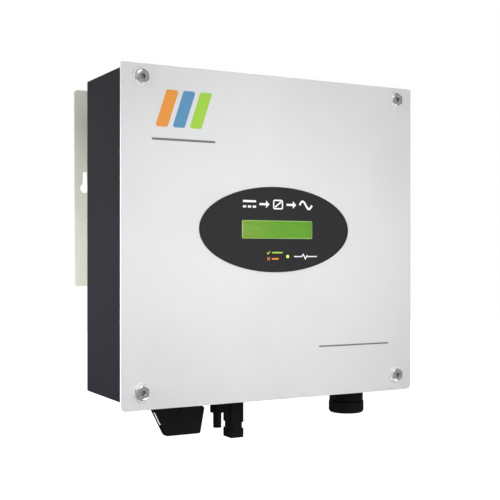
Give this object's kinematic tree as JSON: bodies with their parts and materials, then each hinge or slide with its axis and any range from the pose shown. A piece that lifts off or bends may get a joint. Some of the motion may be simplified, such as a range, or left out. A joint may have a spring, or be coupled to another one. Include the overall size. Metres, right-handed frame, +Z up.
{
  "type": "string inverter",
  "caption": "Wall-hung solar string inverter: flat front plate with an elliptical display over a finned box, plug connectors and a rotary isolator underneath.",
  "frame": {"origin": "centre of the wall bracket's back face, which lies on the wall", "axes": "+Z up, -Y the way the front plate faces, +X to the right when facing the front plate"},
  "size_m": [0.34, 0.147, 0.3726],
  "materials": {
    "light_grey_paint": "satin powder coat",
    "dark_grey_paint": "matt powder coat",
    "zinc_plate": "zinc plated, faintly yellow-green",
    "extruded_aluminium": "as extruded",
    "bright_steel": "bright",
    "tinned_steel": "tinned",
    "brass": "bright",
    "copper_winding": "enamelled copper",
    "black_rubber": "matt",
    "black_plastic": "fine moulded grain",
    "grey_plastic": "moulded",
    "overlay_foil": "satin foil",
    "clear_window": "clear",
    "lcd_green": "lit from behind",
    "lamp_lens": "clear tinted",
    "board_green": "solder mask",
    "insulating_film": "translucent film",
    "capacitor_sleeve": "shrunk sleeve",
    "relay_case": "moulded",
    "module_case": "moulded",
    "red_insulation": "insulated wire",
    "black_insulation": "insulated wire",
    "grey_insulation": "insulated wire"
  },
  "bodies": {
    "bracket": {"wall_bracket": "zinc_plate"},
    "inverter": {"front_cover": "light_grey_paint", "enclosure": "dark_grey_paint", "comm_cover": "dark_grey_paint", "hanger_rail": "zinc_plate", "heatsink": "extruded_aluminium", "cover_screw_top_left": "bright_steel", "cover_screw_top_right": "bright_steel", "cover_screw_bottom_left": "bright_steel", "cover_screw_bottom_right": "bright_steel", "cover_washer_top_left": "bright_steel", "cover_washer_top_right": "bright_steel", "cover_washer_bottom_left": "bright_steel", "cover_washer_bottom_right": "bright_steel", "comm_screw_left": "bright_steel", "comm_screw_right": "bright_steel", "earth_stud": "bright_steel", "earth_nut": "bright_steel", "lcd_bezel": "tinned_steel", "comm_connector": "tinned_steel", "pv_socket_contact": "brass", "pv_plug_contact": "brass", "ac_pin_earth": "brass", "ac_pin_line": "brass", "ac_pin_neutral": "brass", "boost_inductor": "copper_winding", "output_choke": "copper_winding", "cover_gasket": "black_rubber", "rest_pad_left": "black_rubber", "rest_pad_right": "black_rubber", "pv_socket": "black_plastic", "pv_plug": "black_plastic", "pv_socket_nut": "black_plastic", "pv_plug_nut": "black_plastic", "ac_receptacle": "black_plastic", "ac_nut": "black_plastic", "switch_escutcheon": "grey_plastic", "switch_body": "grey_plastic", "ac_insert": "grey_plastic", "display_overlay": "overlay_foil", "display_window": "clear_window", "lcd_cell": "lcd_green", "status_lamp": "lamp_lens", "display_board": "board_green", "main_board": "board_green", "control_board": "board_green", "insulation_sheet": "insulating_film", "dc_link_capacitor_1": "capacitor_sleeve", "dc_link_capacitor_2": "capacitor_sleeve", "dc_link_capacitor_3": "capacitor_sleeve", "output_relay": "relay_case", "power_module": "module_case", "pv_lead_positive": "red_insulation", "pv_lead_negative": "black_insulation", "dc_lead": "black_insulation", "ac_lead": "grey_insulation", "ribbon_cable": "grey_insulation"},
    "dc_switch": {"switch_handle": "black_plastic", "switch_shaft": "bright_steel"},
    "ac_ring": {"ac_locking_ring": "black_plastic"}
  },
  "joints": [
    {"name": "inverter_lift", "type": "slide", "parent": "bracket", "child": "inverter", "axis": [0, 0, 1], "range_m": [0, 0.014]},
    {"name": "dc_switch_turn", "type": "hinge", "parent": "inverter", "child": "dc_switch", "pos_m": [-0.093, -0.097, -0.2139], "axis": [0, 0, 1], "range_deg": [0, 90]},
    {"name": "ac_ring_turn", "type": "hinge", "parent": "inverter", "child": "ac_ring", "pos_m": [0.115, -0.097, -0.2331], "axis": [0, 0, 1], "range_deg": [0, 60]}
  ]
}
